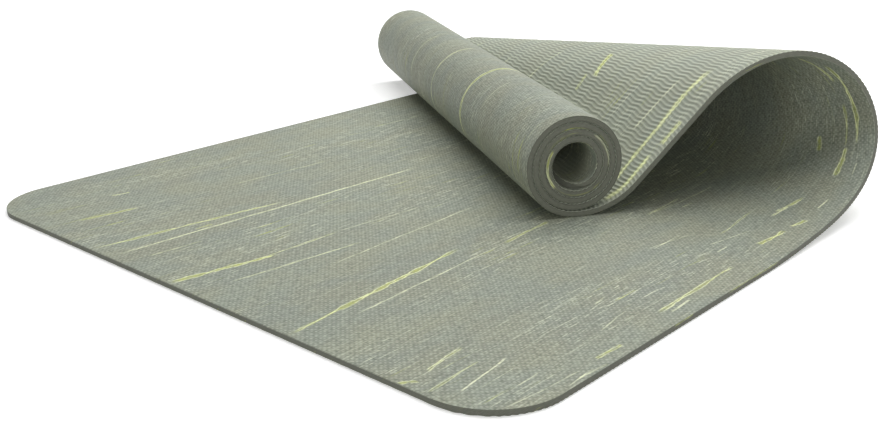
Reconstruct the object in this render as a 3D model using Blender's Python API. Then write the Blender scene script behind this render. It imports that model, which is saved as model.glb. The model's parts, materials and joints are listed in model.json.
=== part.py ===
# A foam exercise mat, lying folded over on itself with its far end rolled up.
#
# The mat is one long laminate of three layers: embossed face foam, a thin scrim
# and ribbed base foam. It lies flat from its free short end, rises in a loop
# that turns over, comes down as a ramp and winds into a roll that rests on the
# flat part. Every layer is divided along the sheet's bend lines, and each
# stretch is hinged to the next, so that the free end curls up and the loop opens.
#
# The shape is worked out on the flat sheet. A bend line crosses it from the
# front long edge to the back one, and the sheet is folded about each in turn.
# Metres, +Z up. Y runs along the roll's axis, from the loop's wide side. The mat's
# long edges slant across X and Y by as much as the loop turns the roll. On the flat
# sheet, X runs along the mat from its free short end and Y across it.

import math

import bmesh
import bpy
import numpy as np
from mathutils import Matrix, Vector

# The sheet as it was cut
MAT_LENGTH = 1.73
MAT_WIDTH = 0.61
CORNER_RADIUS = 0.055
CORNER_STEPS = 6

# Its layers, from the top
FACE_THICKNESS = 0.002
SCRIM_THICKNESS = 0.0004
BASE_THICKNESS = 0.002
LAYER_GAP = 0.0003

# Free short end: short stretches that curl up off the floor
CURL_LINKS = 4
CURL_LINK_LENGTH = 0.06

# The loop: its bend lines fan out from the back edge to the front one
LOOP_LINKS = 11
LINES_PER_LINK = 3
LIFT_OFF_FRONT = 0.306
LOOP_FRONT_LENGTH = 0.4425
LOOP_BACK_LENGTH = 0.164
FRONT_CROWD_SHARE = 0.162
BACK_CROWD_SHARE = -0.85
BEND_SHARES = (0.235, 0.10, 0.85, 2.43, 1.75, 1.04, 0.865)
DENSITY_STEPS = 400

# The ramp's reverse bend, from slanting lines to square ones
RAMP_LENGTH = 0.008
EASE_LENGTH = 0.0414
EASE_SKEW = 0.026
EASE_STEPS = 8

# The roll
ROLL_RADIUS = 0.0455
TURN_STEPS = 24
TURN_GAP = 0.0008
LEAST_TURN_GAP = 0.0004
SEAT_GAP = 0.0003

# Clearance between two stretches of one layer
LINK_GAP = 0.0003

# Two lines nearer than this would leave a sliver between them
LEAST_STEP = 0.001

# The loop's whole bend lies between these, in degrees
LEAST_BEND = 190
MOST_BEND = 290
HALVINGS = 36

# Edges sharper than this stay sharp, in degrees
SHARP_ANGLE = 30
MILLIMETRES = 1000

MAT_THICKNESS = FACE_THICKNESS + SCRIM_THICKNESS + BASE_THICKNESS + 2 * LAYER_GAP
MIDDLE_RADIUS = ROLL_RADIUS - MAT_THICKNESS / 2

# Each layer's lower and upper side, measured up from the sheet's middle
UNDERSIDE = -MAT_THICKNESS / 2
TOPSIDE = MAT_THICKNESS / 2
SCRIM_LOW = UNDERSIDE + BASE_THICKNESS + LAYER_GAP
LAYERS = {
    "face": (TOPSIDE - FACE_THICKNESS, TOPSIDE),
    "scrim": (SCRIM_LOW, SCRIM_LOW + SCRIM_THICKNESS),
    "base": (UNDERSIDE, UNDERSIDE + BASE_THICKNESS),
}

# Colour and roughness
FINISHES = {
    "face": ((0.36, 0.43, 0.27), 0.72),
    "scrim": ((0.62, 0.63, 0.55), 0.85),
    "base": ((0.20, 0.23, 0.15), 0.78),
}


class BendLine:
    """A line across the flat sheet, by its places on the front and back edges."""

    def __init__(self, front, back, bend=0.0, cut=None):
        self.front = front
        self.back = back
        self.bend = bend
        self.cut = cut

    def across(self):
        return np.array([self.back - self.front, MAT_WIDTH, 0])

    def moved(self, distance):
        """The same line, moved square to itself."""
        along = distance * np.linalg.norm(self.across()) / MAT_WIDTH
        return BendLine(self.front + along, self.back + along, self.bend)

    def ends(self):
        """Its two ends on the flat sheet, drawn in where the corners are rounded."""
        low, high = inset(self.front), MAT_WIDTH - inset(self.back)
        start = np.array([self.front, 0, 0])
        return [start + self.across() * (side / MAT_WIDTH) for side in (low, high)]


class Place:
    """Where one flat stretch of the sheet lies in space."""

    def __init__(self, turn, shift):
        self.turn = turn
        self.shift = shift

    def point(self, flat):
        return self.turn @ flat + self.shift

    def bent(self, line):
        """The place of the stretch after a bend line."""
        bend = turned(line.across(), -line.bend)
        front = np.array([line.front, 0, 0])
        return Place(self.turn @ bend, self.point(front - bend @ front))

    def way_up(self, line):
        """From the middle of the sheet towards its top side at a bend line."""
        half = turned(line.across(), -line.bend / 2)
        return self.turn @ half @ np.array([0, 0, 1]) / math.cos(line.bend / 2)


class Row:
    """A bend line in space: its ends in the middle of the sheet, and the way to its sides."""

    def __init__(self, line, place, way_up):
        self.front, self.back = [place.point(end) for end in line.ends()]
        self.way_up = way_up

    def side(self, height):
        return self.front + self.way_up * height, self.back + self.way_up * height

    def middle(self, height):
        return (self.front + self.back) / 2 + self.way_up * height


def turned(axis, angle):
    return np.array(Matrix.Rotation(angle, 3, Vector(axis)))


UNTURNED = Place(np.eye(3), np.zeros(3))


def root(function, low, high):
    """Where a function that only rises, or only falls, from low to high is zero."""
    above = function(high) > 0
    for _ in range(HALVINGS):
        middle = (low + high) / 2
        if (function(middle) > 0) == above:
            high = middle
        else:
            low = middle
    return (low + high) / 2


def inset(along):
    """How far the rounded corners draw a long edge in, at a distance along the mat."""
    short = CORNER_RADIUS - min(along, MAT_LENGTH - along)
    if short <= 0:
        return 0.0
    return CORNER_RADIUS - math.sqrt(max(CORNER_RADIUS**2 - short**2, 0))


def corner_places():
    """Distances from a short end at which its rounded corners get a line."""
    steps = [k / CORNER_STEPS * math.pi / 2 for k in range(CORNER_STEPS + 1)]
    return [CORNER_RADIUS * (1 - math.cos(step)) for step in steps]


def curl_lines():
    """The free end's hinge lines, one after each short stretch."""
    places = [k * CURL_LINK_LENGTH for k in range(1, CURL_LINKS + 1)]
    return [BendLine(place, place, cut=f"curl_{k + 1}") for k, place in enumerate(places)]


def loop_lines(lift_off_back, bend):
    """The loop's lines, all with the same bend, and closer where the loop is tighter.

    The first is a hinge, so that the flat stretch has no bend, and the others are in the
    middle of their bends, so that the loop opens out flat.
    """
    count = LOOP_LINKS * LINES_PER_LINK + 1
    shares = np.linspace(0, 1, DENSITY_STEPS + 1)
    density = np.interp(shares, np.linspace(0, 1, len(BEND_SHARES)), BEND_SHARES)
    reached = np.concatenate([[0], np.cumsum((density[1:] + density[:-1]) / 2)])
    lines = []
    for k in range(count):
        share = np.interp((k + 0.5) / count * reached[-1], reached, shares)
        crowd = share * (1 - share)
        front = LIFT_OFF_FRONT + LOOP_FRONT_LENGTH * (share + FRONT_CROWD_SHARE * crowd)
        back = lift_off_back + LOOP_BACK_LENGTH * (share + BACK_CROWD_SHARE * crowd)
        lines.append(BendLine(front, back, bend / count))
    lines[0].cut = "loop_1"
    for k in range(LOOP_LINKS):
        lines[k * LINES_PER_LINK + (LINES_PER_LINK + 1) // 2].cut = f"loop_{k + 2}"
    return lines


def ease_lines(start):
    """The reverse bend at the ramp's foot: its lines slant at first and end square to the mat."""
    bend = EASE_LENGTH / EASE_STEPS / MIDDLE_RADIUS
    lines = []
    for k in range(EASE_STEPS):
        share = (k + 0.5) / EASE_STEPS
        back = start + share * EASE_LENGTH
        lines.append(BendLine(back - EASE_SKEW * (1 - share), back, -bend))
    return lines


def turn_lines(start, end):
    """The roll's lines, square to the mat: each turn lies a thickness and a gap inside the last."""
    step = 2 * math.pi / TURN_STEPS
    pitch = MAT_THICKNESS + TURN_GAP
    radius = MIDDLE_RADIUS
    along = start + radius * step / 2
    lines = []
    while along < end and radius > pitch:
        lines.append(BendLine(along, along, -step))
        radius -= pitch / TURN_STEPS
        along += radius * step
    return lines


def places_of(lines, first):
    """The sheet's place before the first line, and after each."""
    places = [first]
    for line in lines:
        places.append(places[-1].bent(line))
    return places


def rows_of(lines, places):
    return [Row(line, place, place.way_up(line)) for line, place in zip(lines, places)]


def folding_lines(lift_off_back, bend):
    """The lines of the loop and the ramp, and where the roll's first turn starts."""
    lines = loop_lines(lift_off_back, bend)
    start = lines[-1].back + RAMP_LENGTH
    return lines + ease_lines(start), start + EASE_LENGTH


def roll_slope(lift_off_back, bend):
    """How far the sheet's width slopes once it has reached the roll."""
    lines, _ = folding_lines(lift_off_back, bend)
    return places_of(lines, UNTURNED)[-1].turn[2, 1]


def level_lift_off(bend):
    """Where the back edge leaves the floor, which makes the roll lie level."""
    furthest = LIFT_OFF_FRONT + 2 * LOOP_FRONT_LENGTH
    return root(lambda back: roll_slope(back, bend), LIFT_OFF_FRONT, furthest)


def roll_height(bend):
    """How far above its seat on the flat part the roll is."""
    lines, start = folding_lines(level_lift_off(bend), bend)
    lines += turn_lines(start, start + math.pi * MIDDLE_RADIUS)
    rows = rows_of(lines, places_of(lines, UNTURNED))
    rolled = [row for line, row in zip(lines, rows) if line.bend < 0]
    lowest = min(end[2] for row in rolled for end in row.side(TOPSIDE))
    return lowest - TOPSIDE - SEAT_GAP


def mat_lines():
    """Every line of the sheet in order. The loop bends until the roll comes down on its seat."""
    bend = root(roll_height, math.radians(LEAST_BEND), math.radians(MOST_BEND))
    lift_off_back = level_lift_off(bend)
    print(f"the loop bends {math.degrees(bend):.2f} degrees")
    print(f"the back edge leaves the floor {lift_off_back:.4f} m along the mat")
    lines, start = folding_lines(lift_off_back, bend)
    lines += [*curl_lines(), BendLine(start, start, cut="seat")]
    lines += turn_lines(start, MAT_LENGTH - LEAST_STEP)
    for place in corner_places():
        for along in (place, MAT_LENGTH - place):
            if min(abs(line.front - along) for line in lines) > LEAST_STEP:
                lines.append(BendLine(along, along))
    return sorted(lines, key=lambda line: line.front + line.back)


def first_place(lines):
    """The free end's place: turned so that the roll lies along Y, with the flat stretch's middle at X = 0."""
    across = places_of(lines, UNTURNED)[-1].turn @ np.array([0, 1, 0])
    turn = turned((0, 0, 1), math.atan2(across[0], across[1]))
    middle = np.array([(CURL_LINKS * CURL_LINK_LENGTH + LIFT_OFF_FRONT) / 2, MAT_WIDTH / 2, 0])
    return Place(turn, np.array([0, 0, TOPSIDE]) - turn @ middle)


def stretches(lines, places):
    """Each stretch of the sheet between two cuts: its name and its rows."""
    names = [f"end_{k + 1}" for k in range(CURL_LINKS)] + ["flat"]
    names += [f"loop_{k + 1:02d}" for k in range(LOOP_LINKS)] + ["ramp", "roll"]
    rows = rows_of(lines, places)
    runs = [[rows[0]]]
    for k, line in enumerate(lines[1:], start=1):
        if not line.cut:
            runs[-1].append(rows[k])
            continue
        way_up = rows[k].way_up
        runs[-1].append(Row(line.moved(-LINK_GAP / 2), places[k], way_up))
        runs.append([Row(line.moved(LINK_GAP / 2), places[k + 1], way_up)])
    return dict(zip(names, runs, strict=True))


def finish(layer):
    colour, roughness = FINISHES[layer]
    material = bpy.data.materials.new(f"{layer} foam" if layer != "scrim" else layer)
    material.use_nodes = True
    shader = material.node_tree.nodes["Principled BSDF"]
    shader.inputs["Base Color"].default_value = (*colour, 1)
    shader.inputs["Roughness"].default_value = roughness
    shader.inputs["Metallic"].default_value = 0
    return material


def loft(name, rows, low, high, material, parent):
    """One layer of one stretch: a slab lofted through its rows, between two heights in the sheet."""
    to_parent = parent.matrix_world.inverted() if parent else Matrix()
    shape = bmesh.new()
    rings = []
    for row in rows:
        corners = [*row.side(low), *reversed(row.side(high))]
        rings.append([shape.verts.new(to_parent @ Vector(corner)) for corner in corners])
    for ring, following in zip(rings, rings[1:]):
        for side in range(4):
            after = (side + 1) % 4
            shape.faces.new((ring[side], ring[after], following[after], following[side]))
    shape.faces.new(reversed(rings[0]))
    shape.faces.new(rings[-1])
    bmesh.ops.recalc_face_normals(shape, faces=shape.faces)
    mesh = bpy.data.meshes.new(name)
    shape.to_mesh(mesh)
    shape.free()
    mesh.shade_smooth()
    mesh.set_sharp_from_angle(angle=math.radians(SHARP_ANGLE))
    mesh.materials.append(material)
    slab = bpy.data.objects.new(name, mesh)
    bpy.context.scene.collection.objects.link(slab)
    slab.parent = parent
    return slab


def hinge_empty(name, row, height, parent):
    """An empty on a hinge line: its Y axis runs along the line, its Z axis out of the sheet."""
    front, back = [Vector(end) for end in row.side(height)]
    across = (back - front).normalized()
    up = Vector(row.way_up).normalized()
    turn = Matrix((across.cross(up), across, up)).transposed().to_4x4()
    world = Matrix.Translation((front + back) / 2) @ turn
    empty = bpy.data.objects.new(f"hinge_{name}", None)
    bpy.context.scene.collection.objects.link(empty)
    empty.empty_display_size = CURL_LINK_LENGTH / 2
    empty.parent = parent
    empty.matrix_basis = parent.matrix_world.inverted() @ world if parent else world
    bpy.context.view_layer.update()
    return empty


def hinges(lines, places):
    """An empty for each hinge, chained outwards from the flat stretch. Curls turn on the top side."""
    rows = {line.cut: row for line, row in zip(lines, rows_of(lines, places)) if line.cut}
    empties = {}
    parent = None
    for k in range(CURL_LINKS, 0, -1):
        parent = hinge_empty(f"curl_{k}", rows[f"curl_{k}"], TOPSIDE, parent)
        empties[f"end_{k}"] = parent
    parent = None
    for k in range(1, LOOP_LINKS + 2):
        parent = hinge_empty(f"loop_{k:02d}", rows[f"loop_{k}"], UNDERSIDE, parent)
        empties[f"loop_{k:02d}" if k <= LOOP_LINKS else "ramp"] = parent
    empties["roll"] = parent
    return empties


def clear_of(point, start, end):
    """A point's distance from a straight line between two others."""
    share = np.dot(point - start, end - start) / np.dot(end - start, end - start)
    return np.linalg.norm(point - start - np.clip(share, 0, 1) * (end - start))


def least_turn_gap(rows):
    """The smallest space between one turn's outer side and the inner side of another."""
    outer = [row.middle(TOPSIDE) for row in rows]
    inner = [row.middle(UNDERSIDE) for row in rows]
    half_turn = TURN_STEPS // 2
    least = ROLL_RADIUS
    for k, point in enumerate(outer):
        for m in range(len(inner) - 1):
            if abs(m - k) > half_turn:
                least = min(least, clear_of(point, inner[m], inner[m + 1]))
    return least


def clear_scene():
    for obj in list(bpy.data.objects):
        bpy.data.objects.remove(obj)


def build():
    clear_scene()
    lines = mat_lines()
    places = places_of(lines, first_place(lines))
    runs = stretches(lines, places)
    gap = least_turn_gap(runs["ramp"] + runs["roll"])
    print(f"least gap between the roll's turns {gap * MILLIMETRES:.3f} mm")
    if gap < LEAST_TURN_GAP:
        print(f"that is under {LEAST_TURN_GAP * MILLIMETRES:.1f} mm")
    empties = hinges(lines, places)
    for layer, (low, high) in LAYERS.items():
        material = finish(layer)
        for name, rows in runs.items():
            loft(f"{layer}_{name}", rows, low, high, material, empties.get(name))


build()
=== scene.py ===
import json
import math

import bmesh
import bpy
import numpy as np
from mathutils import Matrix, Vector

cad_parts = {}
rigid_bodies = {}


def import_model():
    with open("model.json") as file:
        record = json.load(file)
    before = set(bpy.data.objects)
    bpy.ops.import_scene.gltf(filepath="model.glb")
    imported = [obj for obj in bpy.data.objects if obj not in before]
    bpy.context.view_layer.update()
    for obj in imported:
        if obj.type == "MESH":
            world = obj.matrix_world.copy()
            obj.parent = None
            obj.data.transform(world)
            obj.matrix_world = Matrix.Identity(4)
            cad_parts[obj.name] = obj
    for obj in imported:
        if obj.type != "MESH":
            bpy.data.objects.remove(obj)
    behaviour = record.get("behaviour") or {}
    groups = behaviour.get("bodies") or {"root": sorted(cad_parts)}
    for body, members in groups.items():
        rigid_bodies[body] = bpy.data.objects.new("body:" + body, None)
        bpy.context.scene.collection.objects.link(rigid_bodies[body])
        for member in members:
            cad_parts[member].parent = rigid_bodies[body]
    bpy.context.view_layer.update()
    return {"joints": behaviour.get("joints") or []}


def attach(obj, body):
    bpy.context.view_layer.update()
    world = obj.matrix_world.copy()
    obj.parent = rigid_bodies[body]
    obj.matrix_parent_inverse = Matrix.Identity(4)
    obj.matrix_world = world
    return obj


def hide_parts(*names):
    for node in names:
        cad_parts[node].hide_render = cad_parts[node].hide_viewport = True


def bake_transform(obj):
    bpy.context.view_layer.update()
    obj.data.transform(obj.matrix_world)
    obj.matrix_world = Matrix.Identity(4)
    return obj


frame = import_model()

# The sheet, in metres on the flat mat: x runs along it from the free short end, y across it
mat = {
    "length": 1.73,
    "width": 0.61,
    "thickness": 0.005,
    "cornerRadius": 0.055,
    "edgeRounding": 0.0004,
    "curlLinks": 4,
    "curlLinkLength": 0.06,
    "curlSeamAfterHinge": 0.03,
    "flatSeamAfterHinge": 0.024,
    "loopSeamBeforeHinge": 0.03,
}

# The loop: bend lines fan out from the back edge to the front one
loop = {
    "links": 11,
    "linesPerLink": 3,
    "liftOffFront": 0.306,
    "liftOffBack": 0.6999,
    "frontLength": 0.4425,
    "backLength": 0.164,
    "frontCrowdShare": 0.162,
    "backCrowdShare": -0.85,
    "bendShares": (0.235, 0.10, 0.85, 2.43, 1.75, 1.04, 0.865),  # from lift-off to the ramp
    "bend": math.radians(226.10),
    "finer": 6,  # lines made here for each line of the frame's solids
}

# The ramp's foot and the roll
roll = {
    "rampLength": 0.008,
    "easeLength": 0.0414,
    "easeSkew": 0.026,
    "easeSteps": 8,
    "radius": 0.0455,
    "stepsPerTurn": 24,
    "turnGap": 0.0008,
    "finer": 4,
    "seamAfterStart": 0.012,
    "snugness": 0.0006,  # how much of the gap between turns the base takes up
    "snugOver": 0.03,
}

# The moulded underside: wavy ribs across the mat, with grooves between them
ribs = {
    "pitch": 0.0044,
    "depth": 0.00045,
    "wavePeriod": 0.0255,
    "waveHeight": 0.00075,
}

# How closely each kind of piece is divided, in metres
grid = {
    "endRows": 0.0012,
    "flatRows": 0.0018,
    "loopRows": 0.0008,
    "rollRows": 0.0009,
    "baseColumns": 0.002,
    "faceColumns": 0.02,
    "rollMiddleColumns": 0.012,
    "rollEdgeBand": 0.036,
    "closestRows": 0.00003,
    "beyondSeam": 0.0004,  # a row past each seam, for the normals alone
    "cornerSteps": 48,
    "edgeShares": (0.12, 0.35, 0.65, 1),  # of the edge's rounding
    "wallShares": (0, 0.75),  # of the cut edge's height
}


def rotation(axis, angle):
    return np.array(Matrix.Rotation(angle, 3, Vector(axis)))


def inset(along):
    # How far the rounded corners draw a long edge in
    radius = mat["cornerRadius"]
    short = np.maximum(radius - np.minimum(along, mat["length"] - along), 0)
    return radius - np.sqrt(np.maximum(radius**2 - short**2, 0))


def fromOutline(x, y):
    # Distance in from the mat's outline, a rectangle with rounded corners
    radius = mat["cornerRadius"]
    along = np.abs(x - mat["length"] / 2) - (mat["length"] / 2 - radius)
    across = np.abs(y - mat["width"] / 2) - (mat["width"] / 2 - radius)
    outside = np.hypot(np.maximum(along, 0), np.maximum(across, 0))
    return radius - outside - np.minimum(np.maximum(along, across), 0)


def rounding(distance):
    # How far the skin drops where the pressed edge is rounded
    radius = mat["edgeRounding"]
    near = np.clip(radius - distance, 0, radius)
    return radius - np.sqrt(radius**2 - near**2)


def grooveShare(x, y):
    # How deep the grooves between the wavy ribs are, from 0 on a rib to 1
    wave = np.sin(2 * math.pi * y / ribs["wavePeriod"])
    phase = (x + ribs["waveHeight"] * wave) / ribs["pitch"]
    return 0.5 + 0.5 * np.cos(2 * math.pi * phase)


# How the bend is shared out along the loop, added up so that lines crowd where it bends most
loopSteps = np.linspace(0, 1, 401)
sharePlaces = np.linspace(0, 1, len(loop["bendShares"]))
loopDensity = np.interp(loopSteps, sharePlaces, loop["bendShares"])
loopReached = np.concatenate([[0], np.cumsum((loopDensity[1:] + loopDensity[:-1]) / 2)])
loopLineCount = loop["links"] * loop["linesPerLink"] + 1


def loopLine(index):
    # The loop's line at a place in its count, which needn't be whole
    share = np.interp((index + 0.5) / loopLineCount * loopReached[-1], loopReached, loopSteps)
    crowd = share * (1 - share)
    front = loop["liftOffFront"] + loop["frontLength"] * (share + loop["frontCrowdShare"] * crowd)
    back = loop["liftOffBack"] + loop["backLength"] * (share + loop["backCrowdShare"] * crowd)
    return front, back


def bendLines():
    # Every bend line as front, back and bend, finer than the frame's, and where the roll starts
    firstSquare = mat["curlLinks"] * mat["curlLinkLength"] + mat["flatSeamAfterHinge"]
    hingeFront, hingeBack = loopLine(0)
    before = mat["loopSeamBeforeHinge"]
    lines = [(0, 0, 0), (firstSquare, firstSquare, 0), (hingeFront - before, hingeBack - before, 0)]
    count = loopLineCount * loop["finer"]
    for k in range(count):
        lines.append((*loopLine((k + 0.5) / loop["finer"] - 0.5), loop["bend"] / count))

    # The ramp eases into the roll, and its lines turn square to the mat
    start = loopLine(loopLineCount - 1)[1] + roll["rampLength"]
    middleRadius = roll["radius"] - mat["thickness"] / 2
    count = roll["easeSteps"] * roll["finer"]
    for k in range(count):
        share = (k + 0.5) / count
        back = start + share * roll["easeLength"]
        bend = -roll["easeLength"] / middleRadius / count
        lines.append((back - roll["easeSkew"] * (1 - share), back, bend))
    start += roll["easeLength"]

    # The winding, turn inside turn
    perTurn = roll["stepsPerTurn"] * roll["finer"]
    step = 2 * math.pi / perTurn
    radius = middleRadius
    along = start + radius * step / 2
    while along < mat["length"]:
        lines.append((along, along, -step))
        radius -= (mat["thickness"] + roll["turnGap"]) / perTurn
        along += radius * step
    lines.append((mat["length"], mat["length"], 0))
    return np.array(lines), start


class FoldedSheet:
    # Where the flat sheet's points lie once it is folded about every line
    def __init__(self, turn, shift):
        self.lines, self.rollStart = bendLines()
        self.middles = (self.lines[:, 0] + self.lines[:, 1]) / 2
        turns, shifts, ups = [], [], []
        up = np.array([0, 0, 1])
        for front, back, bend in self.lines:
            axis = (back - front, mat["width"], 0)
            ups.append(turn @ rotation(axis, -bend / 2) @ up)
            bent = rotation(axis, -bend)
            hinge = np.array([front, 0, 0])
            shift = turn @ (hinge - bent @ hinge) + shift
            turn = turn @ bent
            turns.append(turn)
            shifts.append(shift)
        self.turns, self.shifts, self.ups = np.array(turns), np.array(shifts), np.array(ups)

    def ruling(self, middle):
        # The front and back ends of the straight line across the sheet at a middle distance
        return [np.interp(middle, self.middles, self.lines[:, side]) for side in (0, 1)]

    def place(self, middle, acrossShare, height):
        # Points of rows at middle distances: the flat x and y, the height and the folded place
        front, back = [end[:, None] for end in self.ruling(middle)]
        low, high = inset(front), mat["width"] - inset(back)
        y = low + (high - low) * acrossShare
        x = front + (back - front) * y / mat["width"]
        after = np.searchsorted(self.middles, middle, side="right") - 1
        after = np.clip(after, 0, len(self.middles) - 2)
        gap = self.middles[after + 1] - self.middles[after]
        share = np.clip((middle - self.middles[after]) / np.maximum(gap, 1e-9), 0, 1)[:, None]
        up = self.ups[after] * (1 - share) + self.ups[after + 1] * share
        up /= np.linalg.norm(up, axis=1, keepdims=True)
        heights = height(x, y)
        turns, shifts = self.turns[after], self.shifts[after]
        points = turns[:, None, :, 0] * x[..., None] + turns[:, None, :, 1] * y[..., None]
        points += shifts[:, None] + up[:, None] * heights[..., None]
        return x, y, heights, points


# The flat stretch's place comes from the frame: the last curl hinge lies across it on its top side
joints = {joint["name"]: joint for joint in frame["joints"]}
curlHinge = joints[f"curl_{mat['curlLinks']}"]
hingeAxis = np.array(curlHinge["axis"])
flatTurn = rotation((0, 0, 1), math.atan2(-hingeAxis[0], hingeAxis[1]))
hingeOnSheet = np.array([mat["curlLinks"] * mat["curlLinkLength"], mat["width"] / 2, 0])
flatShift = np.array(curlHinge["pos_m"]) - flatTurn @ hingeOnSheet
flatShift[2] = mat["thickness"] / 2
sheet = FoldedSheet(flatTurn, flatShift)
print(f"sheet folded about {len(sheet.lines)} lines")


def columns(step, edgeBand=None, middleStep=None):
    # Shares across the mat: close at the rounded edges, then even, and wider in the middle if asked
    width = mat["width"]
    close = [mat["edgeRounding"] * share for share in (0, *grid["edgeShares"])]
    if edgeBand:
        even = list(np.arange(step, edgeBand, step))
        middleCount = round((width - 2 * edgeBand) / middleStep) + 1
        middle = np.linspace(edgeBand, width - edgeBand, middleCount)
        inner = even + list(middle) + [width - place for place in reversed(even)]
    else:
        inner = list(np.linspace(0, width, round(width / step) + 1)[1:-1])
    return np.array(close + inner + [width - place for place in reversed(close)]) / width


def rowMiddles(start, end, step):
    # Middle distances of a piece's rows, closer where the sheet's short ends are rounded
    (frontA, backA), (frontB, backB) = sheet.ruling(start), sheet.ruling(end)
    longest = max(frontB - frontA, backB - backA)
    rows = list(np.linspace(start, end, max(2, math.ceil(longest / step)) + 1))
    steps = grid["cornerSteps"]
    arc = [mat["cornerRadius"] * (1 - math.cos(k / steps * math.pi / 2)) for k in range(steps)]
    close = [mat["edgeRounding"] * share for share in grid["edgeShares"]]
    for nearEnd in arc + close:
        rows += [place for place in (nearEnd, mat["length"] - nearEnd) if start < place < end]
    rows = np.array(sorted(rows))
    keep = np.concatenate([[True], np.diff(rows) > grid["closestRows"]])
    keep[-1] = True
    return rows[keep]


def skinOf(side):
    # Gives the height of a layer's outer skin off the sheet's middle
    def height(x, y):
        up = mat["thickness"] / 2 - rounding(fromOutline(x, y))
        if side < 0:
            up = up - ribs["depth"] * grooveShare(x, y)
            snug = np.clip((x - sheet.rollStart) / roll["snugOver"], 0, 1)
            up = up + roll["snugness"] * snug
        return side * up

    return height


def layerRings(rows, side, shares):
    # Each row's points: up one cut edge, across the skin and down the other cut edge
    beyond = grid["beyondSeam"]
    rows = np.clip([rows[0] - beyond, *rows, rows[-1] + beyond], 0, mat["length"])
    wallTop = mat["thickness"] / 2 - mat["edgeRounding"]
    heights = [side * (share * wallTop) for share in grid["wallShares"]]
    walls = []
    for edge in (0, -1):
        edgeShare = shares[[edge]]
        walls.append([sheet.place(rows, edgeShare, lambda x, y, h=h: h + 0 * x) for h in heights])
    parts = [*walls[0], sheet.place(rows, shares, skinOf(side)), *reversed(walls[1])]
    ring = np.concatenate([points for x, y, up, points in parts], 1)
    flat = np.concatenate([np.stack([x, y + up], -1) for x, y, up, points in parts], 1)

    # Smooth normals that take in the row beyond each seam, so that the stretches meet unseen
    along = ring[2:] - ring[:-2]
    before = np.concatenate([ring[:, :1], ring[:, :-1]], 1)
    after = np.concatenate([ring[:, 1:], ring[:, -1:]], 1)
    normals = np.cross(along, (after - before)[1:-1])
    normals *= side / np.maximum(np.linalg.norm(normals, axis=2, keepdims=True), 1e-12)
    return ring[1:-1], flat[1:-1], normals


def read(items, key, width=1, kind=np.float32):
    # A number, or a few, of every item of a mesh
    values = np.empty(len(items) * width, kind)
    items.foreach_get(key, values)
    return values.reshape(-1, width) if width > 1 else values


def gridMesh(name, rowCount, columnCount):
    # A flat grid, and the row and column of each of its vertices
    shape = bmesh.new()
    bmesh.ops.create_grid(shape, x_segments=rowCount - 1, y_segments=columnCount - 1, size=0.5)
    mesh = bpy.data.meshes.new(name)
    shape.to_mesh(mesh)
    shape.free()
    places = read(mesh.vertices, "co", 3) + 0.5
    row = np.rint(places[:, 0] * (rowCount - 1)).astype(int)
    column = np.rint(places[:, 1] * (columnCount - 1)).astype(int)
    return mesh, row, column


def closeMesh(mesh, column):
    # Bridge the hidden side, fill the two ends and turn the faces outwards
    shape = bmesh.new()
    shape.from_mesh(mesh)
    rim = [edge for edge in shape.edges if edge.is_boundary]
    sides = [edge for edge in rim if len({column[vert.index] for vert in edge.verts}) == 1]
    bmesh.ops.bridge_loops(shape, edges=sides)
    ends = [edge for edge in shape.edges if edge.is_boundary]
    bmesh.ops.holes_fill(shape, edges=ends, sides=0)
    bmesh.ops.recalc_face_normals(shape, faces=shape.faces)
    if shape.calc_volume(signed=True) < 0:
        bmesh.ops.reverse_faces(shape, faces=shape.faces)
    shape.to_mesh(mesh)
    shape.free()


def wrapMesh(mesh):
    # The flat sheet becomes the UV map, and the stored normals the shading, but for the filled ends
    corner = read(mesh.loops, "vertex_index", kind=np.int32)
    flat = read(mesh.attributes["flatPlace"].data, "vector", 2)
    mesh.uv_layers.new(name="sheet").uv.foreach_set("vector", flat[corner].ravel())
    normals = read(mesh.attributes["smoothNormal"].data, "vector", 3)[corner]
    sizes = read(mesh.polygons, "loop_total", kind=np.int32)
    starts = read(mesh.polygons, "loop_start", kind=np.int32)
    for face in np.nonzero(sizes > 4)[0]:
        normals[starts[face]:starts[face] + sizes[face]] = mesh.polygons[face].normal
    mesh.shade_smooth()
    mesh.normals_split_custom_set(normals)
    for key in ("flatPlace", "smoothNormal"):
        mesh.attributes.remove(mesh.attributes[key])


def foamPiece(name, start, end, side, material, rowStep, shares):
    # One stretch of one foam layer, closed all round: side is 1 for the face, -1 for the base
    rows = rowMiddles(start, end, rowStep)
    ring, flat, normals = layerRings(rows, side, shares)
    lastColumn = ring.shape[1] - 1
    mesh, row, column = gridMesh(name, len(rows), lastColumn + 1)
    mesh.vertices.foreach_set("co", ring[row, column].astype(np.float32).ravel())
    wallColumns = len(grid["wallShares"])
    atWall = (column <= wallColumns) | (column >= lastColumn - wallColumns)
    flatX, flatY = flat[row, column].T
    facts = {
        "cutEdge": ("FLOAT", "value", atWall),
        "groove": ("FLOAT", "value", grooveShare(flatX, flatY) * (side < 0)),
        "flatPlace": ("FLOAT2", "vector", flat[row, column]),
        "smoothNormal": ("FLOAT_VECTOR", "vector", normals[row, column]),
    }
    for key, (kind, field, values) in facts.items():
        data = mesh.attributes.new(key, kind, "POINT").data
        data.foreach_set(field, values.astype(np.float32).ravel())
    closeMesh(mesh, column)
    wrapMesh(mesh)
    mesh.materials.append(material)
    piece = bpy.data.objects.new(name, mesh)
    bpy.context.scene.collection.objects.link(piece)
    return piece


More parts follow.
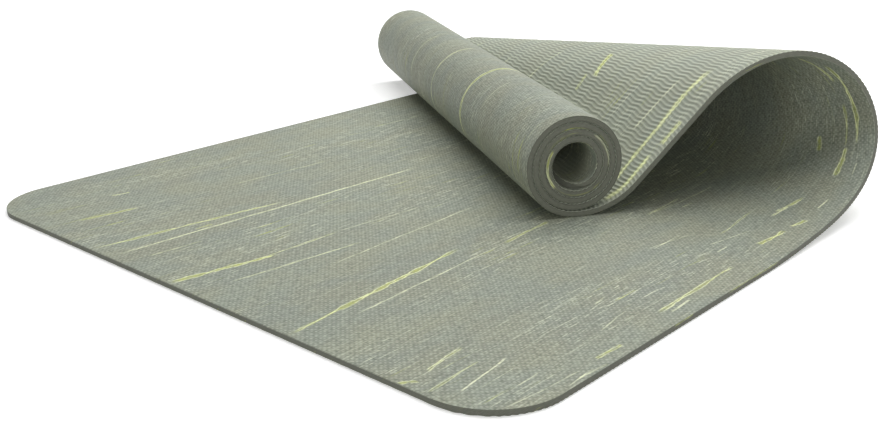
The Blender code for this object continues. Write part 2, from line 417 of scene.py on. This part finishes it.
class Term:
    # A socket's value, so that shader maths is written as a sum
    def __init__(self, maker, socket):
        self.maker = maker
        self.socket = socket

    def join(self, operation, first, second=None):
        return self.maker.node("ShaderNodeMath", {"operation": operation}, {0: first, 1: second})

    def parts(self):
        # Every output of the node that this one comes from
        return [Term(self.maker, socket) for socket in self.socket.node.outputs]

    def __add__(self, other):
        return self.join("ADD", self, other)

    def __mul__(self, other):
        return self.join("MULTIPLY", self, other)

    def __sub__(self, other):
        return self.join("SUBTRACT", self, other)

    def __rsub__(self, other):
        return self.join("SUBTRACT", other, self)

    def __truediv__(self, other):
        return self.join("DIVIDE", self, other)

    def __rtruediv__(self, other):
        return self.join("DIVIDE", other, self)

    def __abs__(self):
        return self.join("ABSOLUTE", self)

    __radd__ = __add__
    __rmul__ = __mul__


class NodeMaker:
    # Makes the nodes of one tree
    def __init__(self, tree):
        self.tree = tree

    def node(self, kind, settings, inputs, output=0):
        made = self.tree.nodes.new(kind)
        for key, value in settings.items():
            if key == "stops":
                self.setStops(made.color_ramp, value)
            else:
                setattr(made, key, value)
        for key, value in inputs.items():
            if value is not None:
                self.feed(made.inputs[key], value)
        return Term(self, made.outputs[output])

    def setStops(self, ramp, stops):
        # A ramp in steps, which has two stops to begin with
        ramp.interpolation = "CONSTANT"
        for place, colour in stops[2:]:
            ramp.elements.new(place)
        for element, (place, colour) in zip(ramp.elements, stops):
            element.position = place
            element.color = colour

    def feed(self, socket, value):
        if isinstance(value, Term):
            self.tree.links.new(value.socket, socket)
        else:
            socket.default_value = value

    def sine(self, value):
        return self.node("ShaderNodeMath", {"operation": "SINE"}, {0: value})

    def smaller(self, first, second):
        return self.node("ShaderNodeMath", {"operation": "MINIMUM"}, {0: first, 1: second})

    def larger(self, first, second):
        return self.node("ShaderNodeMath", {"operation": "MAXIMUM"}, {0: first, 1: second})

    def clamped(self, value):
        return self.smaller(value, 1.0)

    def step(self, value, low, high):
        # A soft step from 0 at low to 1 at high
        inputs = {"Value": value, "From Min": low, "From Max": high}
        return self.node("ShaderNodeMapRange", {"interpolation_type": "SMOOTHSTEP"}, inputs)

    def mix(self, share, first, second):
        inputs = {0: share, 6: first, 7: second}
        return self.node("ShaderNodeMix", {"data_type": "RGBA"}, inputs, output=2)


class Finish(NodeMaker):
    # A material with one Principled shader
    def __init__(self, name):
        self.material = bpy.data.materials.new(name)
        self.material.use_nodes = True
        super().__init__(self.material.node_tree)
        self.shader = self.tree.nodes["Principled BSDF"]
        self.shader.inputs["Metallic"].default_value = 0

    def surface(self, name, value):
        self.feed(self.shader.inputs[name], value)

    def attribute(self, name):
        return self.node("ShaderNodeAttribute", {"attribute_name": name}, {}, output=2)

    def sheetPlace(self):
        # Distances along and across the mat, in metres
        place = self.node("ShaderNodeUVMap", {"uv_map": "sheet"}, {})
        return self.node("ShaderNodeSeparateXYZ", {}, {0: place}).parts()[:2]

    def stretched(self, x, y, alongScale, acrossScale, seed, detail=2.0, roughness=0.5):
        # Noise drawn out along the mat
        place = self.node("ShaderNodeCombineXYZ", {}, {0: x * alongScale, 1: y * acrossScale, 2: seed})
        inputs = {"Vector": place, "Scale": 1.0, "Detail": detail, "Roughness": roughness}
        return self.node("ShaderNodeTexNoise", {"noise_dimensions": "3D"}, inputs)

    def patches(self, x, y, seed, kind):
        # Patches of one of the kinds below
        alongScale, acrossScale, shift, detail, roughness, low, high = patchKinds[kind]
        noise = self.stretched(x, y, alongScale, acrossScale, seed + shift, detail, roughness)
        return self.step(noise, low, high)


# The foam's colours and finish, and how strongly each kind of streak covers it
foam = {
    "darkSage": (0.270, 0.297, 0.238, 1),
    "lightSage": (0.345, 0.376, 0.292, 1),
    "warmSage": (0.340, 0.337, 0.248, 1),
    "coolSage": (0.290, 0.320, 0.280, 1),
    # painted shade in the linen's hollows and painted light on its threads' tops
    "weaveHollowShade": (0.120, 0.140, 0.105, 1),
    "weaveCrownLight": (0.540, 0.580, 0.460, 1),
    # painted light on the ribs' crowns and painted shade in their grooves
    "ribCrownLight": (0.640, 0.680, 0.550, 1),
    "ribHollowShade": (0.275, 0.300, 0.240, 1),
    "paleStreak": (0.88, 0.91, 0.70, 1),
    "limeStreak": (0.56, 0.62, 0.11, 1),
    "limeCore": (0.90, 0.95, 0.42, 1),
    # the cut edge's colours, darker than the face partly as painted shade on the side faces, and the
    # painted shade colour mixed in by place
    "cut": (0.150, 0.156, 0.122, 1),
    "cutLight": (0.205, 0.213, 0.170, 1),
    "cutPaintedShade": (0.025, 0.028, 0.018, 1),
    "roughness": 0.62,
    "gloss": 0.35,
    "roughnessSwing": 0.12,
    "linenDepth": 0.00035,
    "grainDepth": 0.00012,
    "tint": 0.5,
    "faintStreaks": 0.72,
    "wideStreaks": 0.7,
    "smear": 0.78,
    "core": 0.95,
    "limeInCore": 0.75,
    "coreOnCut": 0.6,
}

# Soft-edged patches: noise scales along and across the mat, what is added to the seed, detail and
# roughness, then the noise at which they start and at which they are full
patchKinds = {
    "cloud": (16, 26, 25.0, 2.0, 0.5, 0.34, 0.66),
    "cluster": (4, 14, 3.1, 1.0, 0.5, 0.40, 0.66),
    "broken": (60, 500, 7.7, 3.0, 0.7, 0.42, 0.62),
    "fine": (16, 620, 11.3, 2.0, 0.5, 0.57, 0.68),
    "dashes": (70, 800, 15.9, 1.0, 0.5, 0.62, 0.72),
    "wide": (12, 260, 0.0, 2.0, 0.45, 0.63, 0.72),
    "bulge": (34, 40, 70.0, 2.0, 0.55, 0.36, 0.62),
    "breaks": (70, 160, 75.0, 2.0, 0.6, 0.36, 0.56),
    "pores": (260, 1500, 80.0, 2.0, 0.6, 0.30, 0.70),
    # patches where the ribs' painted shade and light fade
    "ribShadeFading": (14, 9, 90.0, 2.0, 0.5, 0.30, 0.62),
}

# The strongest streaks: from and to along the mat, place across it at each, strength, share of lime
faceStreaks = [
    (0.000, 0.34, 0.404, 0.386, 0.95, 0.3), (0.000, 0.18, 0.430, 0.405, 0.85, 0.9),
    (0.020, 0.071, 0.382, 0.377, 0.60, 0.4), (0.000, 0.092, 0.3225, 0.3065, 1.00, 1.0),
    (0.078, 0.157, 0.310, 0.3085, 0.75, 0.5), (0.156, 0.249, 0.309, 0.300, 0.45, 0.3),
    (0.112, 0.133, 0.369, 0.367, 0.70, 0.1), (0.082, 0.100, 0.4045, 0.4045, 0.70, 1.0),
    (0.031, 0.154, 0.289, 0.276, 0.70, 0.4), (0.100, 0.282, 0.258, 0.265, 0.65, 0.2),
    (0.029, 0.084, 0.501, 0.491, 0.80, 1.0), (0.086, 0.104, 0.540, 0.536, 0.75, 0.7),
    (0.176, 0.293, 0.482, 0.472, 0.50, 0.5), (0.224, 0.254, 0.526, 0.520, 0.40, 0.3),
    (0.308, 0.320, 0.472, 0.470, 0.60, 0.1), (0.370, 0.398, 0.530, 0.522, 0.45, 0.5),
    (0.411, 0.490, 0.532, 0.529, 0.50, 0.5), (0.000, 0.194, 0.186, 0.206, 1.00, 0.9),
    (0.051, 0.223, 0.176, 0.186, 0.70, 0.2), (0.223, 0.290, 0.186, 0.191, 0.70, 0.9),
    (0.000, 0.010, 0.084, 0.077, 0.80, 0.8), (0.022, 0.062, 0.082, 0.088, 0.80, 0.5),
    (0.003, 0.055, 0.063, 0.067, 0.55, 0.7), (0.016, 0.070, 0.049, 0.057, 0.85, 0.1),
    (0.016, 0.068, 0.029, 0.029, 0.45, 0.2), (0.028, 0.062, 0.043, 0.045, 0.45, 0.1),
    (0.062, 0.093, 0.005, 0.007, 0.60, 0.1), (0.018, 0.087, 0.017, 0.011, 0.40, 0.2),
    (0.103, 0.132, 0.014, 0.013, 0.70, 0.9), (0.074, 0.104, 0.006, 0.004, 0.50, 0.3),
    (0.172, 0.188, 0.062, 0.065, 0.50, 0.2), (0.138, 0.178, 0.034, 0.040, 0.50, 0.2),
    (0.186, 0.299, 0.021, 0.024, 0.85, 0.7), (0.194, 0.222, 0.015, 0.016, 0.75, 0.2),
    (0.290, 0.332, 0.089, 0.089, 0.50, 0.2), (0.359, 0.455, 0.136, 0.129, 0.50, 0.4),
    (0.315, 0.332, 0.047, 0.047, 0.80, 0.1), (0.325, 0.376, 0.060, 0.050, 0.55, 0.2),
    (0.350, 0.388, 0.030, 0.026, 1.00, 0.9), (0.398, 0.416, 0.026, 0.021, 0.95, 0.8),
    (0.422, 0.455, 0.051, 0.044, 0.85, 0.6), (0.441, 0.461, 0.023, 0.021, 0.70, 0.2),
    (0.940, 1.060, 0.207, 0.203, 1.00, 0.9), (0.930, 1.040, 0.326, 0.318, 0.90, 0.5),
    (0.965, 1.025, 0.418, 0.415, 0.70, 0.4), (0.985, 1.025, 0.146, 0.147, 0.50, 0.2),
    (0.960, 1.010, 0.021, 0.018, 0.45, 0.3), (0.533, 0.622, 0.021, 0.020, 1.00, 0.85),
    (0.496, 0.532, 0.0305, 0.031, 1.00, 0.8), (0.532, 0.575, 0.032, 0.032, 0.70, 0.9),
    (0.530, 0.548, 0.058, 0.061, 0.85, 0.9), (0.538, 0.566, 0.045, 0.046, 0.45, 0.1),
    (0.498, 0.513, 0.0155, 0.0155, 0.55, 0.2), (0.596, 0.640, 0.029, 0.034, 0.85, 1.0),
    (0.250, 0.332, 0.0019, 0.0019, 0.45, 0.6), (0.178, 0.204, 0.0019, 0.0019, 0.40, 0.7),
    (0.355, 0.415, 0.136, 0.139, 0.60, 0.5), (0.392, 0.408, 0.124, 0.123, 0.50, 0.6),
    (0.286, 0.338, 0.093, 0.083, 0.45, 0.2), (0.352, 0.415, 0.065, 0.070, 0.60, 0.6),
    (0.410, 0.460, 0.050, 0.043, 0.75, 0.5), (1.570, 1.606, 0.0013, 0.0013, 0.80, 0.5),
    (1.480, 1.514, 0.0016, 0.0016, 0.60, 0.2),
]

baseStreaks = [
    (0.765, 0.820, 0.312, 0.319, 0.60, 0.3), (0.744, 0.778, 0.2155, 0.193, 1.00, 1.0),
    (0.778, 0.800, 0.211, 0.205, 0.60, 0.9), (0.718, 0.860, 0.0345, 0.025, 1.00, 0.7),
    (0.738, 0.805, 0.058, 0.061, 0.65, 0.1), (0.774, 0.802, 0.007, 0.006, 0.80, 0.8),
    (0.812, 0.872, 0.008, 0.006, 0.95, 0.8), (0.800, 0.880, 0.405, 0.400, 0.50, 0.3),
    (0.620, 0.720, 0.500, 0.510, 0.60, 0.6), (0.430, 0.560, 0.120, 0.130, 0.80, 0.8),
    (0.250, 0.420, 0.350, 0.340, 0.80, 0.8), (0.060, 0.230, 0.210, 0.200, 0.70, 0.5),
]


# How the placed streaks are drawn: widths in metres, noise scales along and across the mat
strands = {
    "wander": 0.0030,
    "wanderScale": (30, 6),
    "fibreScale": (150, 1500),
    "spread": 0.0012,
    "spreadOfFibres": 0.0030,
    "halfWidth": 0.0003,
    "halfWidthOfStrength": 0.0009,
    "smear": 0.0004,
    "smearOfStrength": 0.0014,
    "fade": 0.12,  # at each end, as a share of the streak
    "solidity": 0.6,  # how unbroken the strongest ones are
    "coreBrightness": 1.15,
    "boldnessOnBase": 2.3,
}


def streakGroups(streaks, margin=0.005, mostInGroup=15):
    # Streaks shared out so that the bands of one group don't overlap
    groups = []
    for streak in sorted(streaks, key=lambda s: min(s[2], s[3])):
        low, high = min(streak[2:4]) - margin, max(streak[2:4]) + margin
        for group in groups:
            if group[-1][1] < low and len(group) < mostInGroup:
                group.append((low, high, streak))
                break
        else:
            groups.append([(low, high, streak)])
    return groups


def bandRamp(finish, group, numbersOf, y):
    # A ramp in steps across the mat: each streak's numbers stand in its own band
    width = mat["width"]
    none = (0, 0, 0, 0)
    stops = [(0, numbersOf(group[0][2]) if group[0][0] < 0 else none)]
    for low, high, streak in group:
        stops += [(max(low / width, 0.00001), numbersOf(streak)), (min(high / width, 1), none)]
    onMat = finish.larger(y / width, 0.00003)  # past the ramp's first stop
    colour, fourth = finish.node("ShaderNodeValToRGB", {"stops": stops}, {0: onMat}).parts()
    return [*finish.node("ShaderNodeSeparateColor", {}, {0: colour}).parts(), fourth]


def placedStreaks(finish, x, y, streaks, seed, boldness):
    # The streaks of a table: thin bright strands along a broken lime smear
    wander = finish.stretched(x, y, *strands["wanderScale"], seed + 60)
    wander = (wander - 0.5) * strands["wander"]
    fibres = finish.stretched(x, y, *strands["fibreScale"], seed + 65, 2.0, 0.7)
    bulge = finish.patches(x, y, seed, "bulge")
    breaks = finish.patches(x, y, seed, "breaks")
    length, width = mat["length"], mat["width"]
    fade = strands["fade"]
    core = smear = 0
    for group in streakGroups(streaks):
        start, end, lime, strength = bandRamp(
            finish, group, lambda s: (s[0] / length, s[1] / length, s[5], s[4]), y
        )
        first, last = bandRamp(finish, group, lambda s: (s[2] / width, s[3] / width, 0, 0), y)[:2]
        along = (x / length - start) / (end - start + 0.0001)
        centre = first + (last - first) * along
        off = abs(y - centre * width + wander)
        ends = finish.step(along, 0.0, fade) * (1 - finish.step(along, 1 - fade, 1.0)) * strength
        spread = bulge * lime * strength
        spread = spread * (fibres * strands["spreadOfFibres"] + strands["spread"])
        halfWidth = strength * strands["halfWidthOfStrength"] + strands["halfWidth"]
        halfWidth = (fibres * 0.9 + 0.3) * halfWidth * boldness
        strand = abs(off - spread) / halfWidth
        thin = (1 - finish.step(strand, 0.25, 1.0)) * (1 - bulge * lime * 0.35)
        reach = (strength * strands["smearOfStrength"] + strands["smear"]) * boldness
        broad = 1 - finish.step(off / (spread + reach), 0.10, 1.0)
        solid = strength * strength * strands["solidity"]
        core = thin * ends * (solid + (1 - solid) * breaks) + core
        smear = broad * ends * lime + smear
    core = core * (finish.step(fibres, 0.30, 0.55) * 0.65 + 0.35) * strands["coreBrightness"]
    smear = smear * (finish.step(fibres, 0.34, 0.62) * 1.05 + 0.10)
    return core, smear


def looseStreaks(finish, x, y, seed):
    # Fine streaks and short dashes everywhere, in loose clusters, and a few wide lime ones
    kinds = ("cluster", "broken", "fine", "dashes", "wide")
    cluster, broken, fine, dashes, wide = [finish.patches(x, y, seed, kind) for kind in kinds]
    faint = fine * broken * (0.25 + cluster * 0.75) + dashes * (0.15 + cluster * 0.85)
    return faint, wide * cluster * broken


# The linen pressed into the face: pitch in metres, noise scales for one pitch, shares of the height
linen = {
    "pitch": 0.00221,
    "warpSkew": 0.062,
    "weftSkew": 0.118,
    "weftSpread": 0.96,
    "wander": 1.2,
    "slubAlongThread": 0.38,
    "slubAcrossThread": 1.05,
    "crossings": 0.19,
    "weftRib": 0.05,
    "threads": 0.12,
    "warpSlubs": 0.8,
    "weftSlubs": 0.7,
    # the heights and shares of the painted light on the threads' tops and the painted shade in the
    # hollows
    "crownFrom": (0.50, 1.15),
    "crown": 0.62,
    "hollowUntil": (-0.15, 0.72),
    "hollow": 0.92,
    "streakFrom": (-0.20, 0.55),  # heights between which a streak shows fully
    "streakInHollow": 0.45,
}


def pressedLinen(finish, x, y, seed, colour):
    # Plain weave, a little off square: warp and weft come up in turn, with thick and thin threads
    pitch, wander = linen["pitch"], linen["wander"]
    long, short = linen["slubAlongThread"] / pitch, linen["slubAcrossThread"] / pitch
    across = finish.stretched(x, y, short, long, seed + 31, 1.0)
    along = finish.stretched(x, y, long, short, seed + 37, 1.0)
    turn = math.pi / pitch
    warp = finish.sine((x - y * linen["warpSkew"]) * turn + across * wander)
    weft = finish.sine((x * linen["weftSkew"] - y * linen["weftSpread"]) * turn + along * wander)
    crossings = warp * weft * linen["crossings"] + weft * linen["weftRib"]
    threads = (warp * warp + weft * weft) * linen["threads"] - linen["threads"]
    height = crossings + threads + (across - 0.5) * linen["warpSlubs"]
    height = height + (along - 0.5) * linen["weftSlubs"] + 0.5
    # Painted light on the threads' tops and painted shade in the hollows, by height
    crown = finish.step(height, *linen["crownFrom"])
    colour = finish.mix(crown * linen["crown"], colour, foam["weaveCrownLight"])
    hollow = 1 - finish.step(height, *linen["hollowUntil"])
    colour = finish.mix(hollow * linen["hollow"], colour, foam["weaveHollowShade"])
    inHollow = linen["streakInHollow"]
    shown = finish.step(height, *linen["streakFrom"]) * (1 - inHollow) + inHollow
    return colour, height, foam["linenDepth"], shown


# How the ribs of the base look, with painted shade in the grooves and painted light on the crowns:
# places along the mat in metres, the rest as shares
ribLook = {
    "hollowFrom": (0.35, 1.0),
    "crownUntil": (0.0, 0.65),
    "crown": 0.65,
    "shadeFade": 0.45,
    "boreFrom": (1.46, 1.56),
    "boreShadeFade": 0.9,
    "grainScale": (700, 900),
}


def mouldedRibs(finish, x, y, seed, colour):
    # Painted shade in the grooves and painted light on the ribs, fading in patches and inside the
    # roll's bore
    groove = finish.attribute("groove")
    ribShadeFading = finish.patches(x, y, seed, "ribShadeFading") * ribLook["shadeFade"]
    outside = 1 - finish.step(x, *ribLook["boreFrom"]) * ribLook["boreShadeFade"]
    hollow = finish.step(groove, *ribLook["hollowFrom"]) * outside * (1 - ribShadeFading)
    colour = finish.mix(hollow, colour, foam["ribHollowShade"])
    crown = 1 - finish.step(groove, *ribLook["crownUntil"])
    colour = finish.mix(crown * outside * ribLook["crown"], colour, foam["ribCrownLight"])
    grain = finish.stretched(x, y, *ribLook["grainScale"], seed + 31, 2.0, 0.6)
    return colour, grain, foam["grainDepth"], 1.0


# The cut edge's painted shade: where along the mat it changes, and how much of the painted shade
# colour each place takes
cutEdge = {
    "floorUntil": (0.34, 0.60),
    "rollFrom": (0.88, 0.93),
    "skin": (0.0014, 0.0023),  # how far in it stays light in the roll, in metres
    "skinWander": 0.0008,
    "everywhere": 0.16,
    "onFloor": 0.26,
    "inRoll": 0.04,
    "ringed": 0.46,
}


def cutColour(finish, x, y, seed):
    # The cut edge is smooth, with fine pores drawn out along it; painted shade darkens it a little
    # everywhere, more where the mat lies on the floor, and in the middle in the roll
    pores = finish.patches(x, y, seed, "pores")
    colour = finish.mix(pores, foam["cut"], foam["cutLight"])
    inRoll = finish.step(x, *cutEdge["rollFrom"])
    onFloor = 1 - finish.step(x, *cutEdge["floorUntil"])
    skin = finish.smaller(abs(y), abs(y - mat["width"]))
    skin = skin + (pores - 0.5) * cutEdge["skinWander"]
    ringed = finish.step(skin, *cutEdge["skin"]) * inRoll
    shade = inRoll * cutEdge["inRoll"] + onFloor * cutEdge["onFloor"]
    shade = shade + ringed * cutEdge["ringed"] + cutEdge["everywhere"]
    return finish.mix(shade, colour, foam["cutPaintedShade"])


def foamFinish(name, side, streaks, seed):
    finish = Finish(name)
    x, y = finish.sheetPlace()
    marble = finish.stretched(x, y, 5, 34, seed + 20.5, 3.0, 0.55)
    colour = finish.mix(finish.step(marble, 0.32, 0.68), foam["darkSage"], foam["lightSage"])
    cloud = finish.patches(x, y, seed, "cloud")
    tint = finish.mix(cloud, foam["coolSage"], foam["warmSage"])
    colour = finish.mix(foam["tint"], colour, tint)
    faint, wide = looseStreaks(finish, x, y, seed)
    colour = finish.mix(faint * foam["faintStreaks"], colour, foam["paleStreak"])
    relief = pressedLinen if side > 0 else mouldedRibs
    colour, height, depth, shown = relief(finish, x, y, seed, colour)

    boldness = 1.0 if side > 0 else strands["boldnessOnBase"]
    core, smear = placedStreaks(finish, x, y, streaks, seed, boldness)
    limeShare = finish.clamped(smear * 1.4) * foam["limeInCore"]
    strand = finish.mix(limeShare, foam["paleStreak"], foam["limeCore"])
    colour = finish.mix(wide * foam["wideStreaks"], colour, foam["limeStreak"])
    colour = finish.mix(finish.clamped(smear * shown) * foam["smear"], colour, foam["limeStreak"])
    colour = finish.mix(finish.clamped(core * 1.1 * shown) * foam["core"], colour, strand)
    cut = cutColour(finish, x, y, seed)
    cut = finish.mix(finish.clamped(wide + smear * 1.3), cut, foam["limeStreak"])
    cut = finish.mix(finish.clamped(core) * foam["coreOnCut"], cut, strand)

    edge = finish.attribute("cutEdge")
    finish.surface("Base Color", finish.mix(edge, colour, cut))
    bump = {"Strength": 1.0, "Distance": depth, "Height": height * (1 - edge)}
    finish.surface("Normal", finish.node("ShaderNodeBump", {}, bump))
    finish.surface("Roughness", foam["roughness"] + (marble - 0.5) * foam["roughnessSwing"])
    finish.surface("Specular IOR Level", foam["gloss"])
    return finish.material


faceFoam = foamFinish("face foam", 1, faceStreaks, 0.0)
baseFoam = foamFinish("base foam", -1, baseStreaks, 50.0)
print("materials made")


def middleOf(line):
    return (line[0] + line[1]) / 2


# Where each stretch of the sheet ends, as middle distances, then the stretches' names and nodes
linkLength = mat["curlLinkLength"]
seams = [0] + [k * linkLength + mat["curlSeamAfterHinge"] for k in range(1, mat["curlLinks"])]
seams += [mat["curlLinks"] * linkLength + mat["flatSeamAfterHinge"]]
seams += [middleOf(loopLine(0)) - mat["loopSeamBeforeHinge"]]
hingeIndex = [0] + [k * loop["linesPerLink"] + 2 for k in range(loop["links"])]
seams += [middleOf(loopLine((low + high) / 2)) for low, high in zip(hingeIndex, hingeIndex[1:])]
seams += [sheet.rollStart + roll["seamAfterStart"], mat["length"]]
names = [f"curl_{k + 1}" for k in range(mat["curlLinks"])] + ["flat"]
names += [f"loop_{k + 1}" for k in range(loop["links"] + 1)] + ["roll"]
nodes = [f"end_{k + 1}" for k in range(mat["curlLinks"])] + ["flat"]
nodes += [f"loop_{k + 1:02d}" for k in range(loop["links"])] + ["ramp", "roll"]


def rowStepOf(name):
    for key in ("flat", "loop", "roll"):
        if name.startswith(key):
            return grid[key + "Rows"]
    return grid["endRows"]


def sharesOf(name, side):
    if side > 0:
        return columns(grid["faceColumns"])
    if name == "roll":
        return columns(grid["baseColumns"], grid["rollEdgeBand"], grid["rollMiddleColumns"])
    return columns(grid["baseColumns"])


def hingeZone(joint, start, end):
    # Two points before and after a hinge
    axis = Vector(joint["axis"])
    middle = Vector(joint["pos_m"])
    points = sheet.place(np.array([start, end]), np.array([0.0, 1.0]), lambda x, y: 0 * x)[3]
    forward = Vector(points[1].mean(0) - points[0].mean(0))
    forward = (forward - axis * forward.dot(axis)).normalized()
    reach = [abs((Vector(corner) - middle).dot(forward)) for row in points for corner in row]
    if not joint["name"].startswith("loop"):  # the curl's parent lies further along the mat
        forward.negate()
    half = min(reach) * 0.98
    return middle - forward * half, middle + forward * half


for name, node, start, end in zip(names, nodes, seams, seams[1:]):
    for layer, side, material in (("face", 1, faceFoam), ("base", -1, baseFoam)):
        shares = sharesOf(name, side)
        pieceName = f"{layer}_foam_{name}"
        piece = foamPiece(pieceName, start, end, side, material, rowStepOf(name), shares)
        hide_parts(f"{layer}_{node}")
        if side < 0:
            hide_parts(f"scrim_{node}")
        if name in joints:
            joint = joints[name]
            hingeZone(joint, start, end)
            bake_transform(piece)
        else:
            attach(piece, name)
foamPieces = [piece for piece in bpy.data.objects if "_foam_" in piece.name]
print("foam stretches made:", sum(len(piece.data.polygons) for piece in foamPieces))

# Floor, light and camera
studio = {
    "floorHalf": 8,
    "floorDrop": 0.0003,
    "floorColour": (0.93, 0.93, 0.93, 1),
    "floorRoughness": 0.9,
    "floorGlow": (0.42, 0.42, 0.42, 1),
    "farGlow": (1, 1, 1, 1),
    "glowFrom": 0.9,
    "glowTo": 2.2,
    "fillStrength": 0.05,
}

# Soft lamps: place, point they face, size in metres and power in watts
lamps = {
    "overhead lamp": ((0.1, 0.45, 2.1), (0.10, 0.05, 0), 2.4, 33.5),
    "key lamp": ((1.35, 0.95, 1.5), (0.10, 0.05, 0), 1.1, 11.5),
    "side lamp": ((0.9, -0.3, 1.6), (0.10, 0.05, 0), 0.9, 6.0),
    "front lamp": ((0.1, -1.5, 0.40), (0.30, -0.05, 0.05), 0.8, 4.8),
    "low lamp": ((-1.1, -0.9, 0.35), (0.35, 0.05, 0.05), 0.7, 3.4),
}


def seenRays(maker):
    # 1 for camera, glossy and transmission rays, so that gloss shows the white background too
    rays = maker.node("ShaderNodeLightPath", {}, {}).parts()
    return maker.clamped(rays[0] + rays[3] + rays[6])


def makeFloor():
    shape = bmesh.new()
    bmesh.ops.create_grid(shape, x_segments=1, y_segments=1, size=studio["floorHalf"])
    bmesh.ops.translate(shape, verts=shape.verts, vec=(0, 0, -studio["floorDrop"]))
    mesh = bpy.data.meshes.new("floor")
    shape.to_mesh(mesh)
    shape.free()
    finish = Finish("floor white")
    finish.surface("Base Color", studio["floorColour"])
    finish.surface("Roughness", studio["floorRoughness"])
    place = finish.node("ShaderNodeTexCoord", {}, {}, output=3)
    distance = finish.node("ShaderNodeVectorMath", {"operation": "LENGTH"}, {0: place}, output=1)
    far = finish.step(distance, studio["glowFrom"], studio["glowTo"])
    glow = finish.mix(far, studio["floorGlow"], studio["farGlow"])
    finish.surface("Emission Color", finish.mix(seenRays(finish), (0, 0, 0, 1), glow))
    finish.surface("Emission Strength", 1)
    mesh.materials.append(finish.material)
    floor = bpy.data.objects.new("floor", mesh)
    bpy.context.scene.collection.objects.link(floor)


def makeWorld():
    world = bpy.data.worlds.new("studio")
    bpy.context.scene.world = world
    world.use_nodes = True
    maker = NodeMaker(world.node_tree)
    background = maker.tree.nodes["Background"]
    background.inputs["Color"].default_value = (1, 1, 1, 1)
    fill = studio["fillStrength"]
    maker.feed(background.inputs["Strength"], seenRays(maker) * (1 - fill) + fill)


def makeLamp(name, place, target, size, power):
    lamp = bpy.data.lights.new(name, "AREA")
    lamp.shape = "DISK"
    lamp.size = size
    lamp.energy = power
    made = bpy.data.objects.new(name, lamp)
    made.location = place
    made.rotation_euler = (Vector(target) - Vector(place)).to_track_quat("-Z", "Y").to_euler()
    bpy.context.scene.collection.objects.link(made)


# The photograph's camera, on the flat mat's axes
view = {
    "focalPixels": 1086.4,
    "widthPixels": 890,
    "pitchDown": 0.3374,
    "roll": 0.0147,
    "height": 0.3141,
    "heading": 0.8275,
    "x": -0.4073,
    "y": -0.3328,
}


def makeCamera():
    data = bpy.data.cameras.new("camera")
    data.sensor_width = 36
    data.lens = view["focalPixels"] * data.sensor_width / view["widthPixels"]
    heading, pitch, tilt = view["heading"], view["pitchDown"], view["roll"]
    ahead = np.array([math.sin(heading), math.cos(heading), 0])
    right = np.array([math.cos(heading), -math.sin(heading), 0])
    up = np.array([0, 0, 1])
    look = math.cos(pitch) * ahead - math.sin(pitch) * up
    down = -(math.sin(pitch) * ahead + math.cos(pitch) * up)
    imageRight = math.cos(tilt) * right + math.sin(tilt) * down
    imageDown = -math.sin(tilt) * right + math.cos(tilt) * down
    axes = flatTurn @ np.array([imageRight, -imageDown, -look]).T
    place = flatTurn @ np.array([view["x"], view["y"], 0]) + flatShift
    place[2] = view["height"]
    camera = bpy.data.objects.new("camera", data)
    camera.matrix_world = Matrix.Translation(place) @ Matrix(axes.tolist()).to_4x4()
    bpy.context.scene.collection.objects.link(camera)
    bpy.context.scene.camera = camera


makeFloor()
makeWorld()
for name, (place, target, size, power) in lamps.items():
    makeLamp(name, place, target, size, power)
makeCamera()
bpy.context.scene.view_settings.view_transform = "Standard"
print("floor, light and camera made")
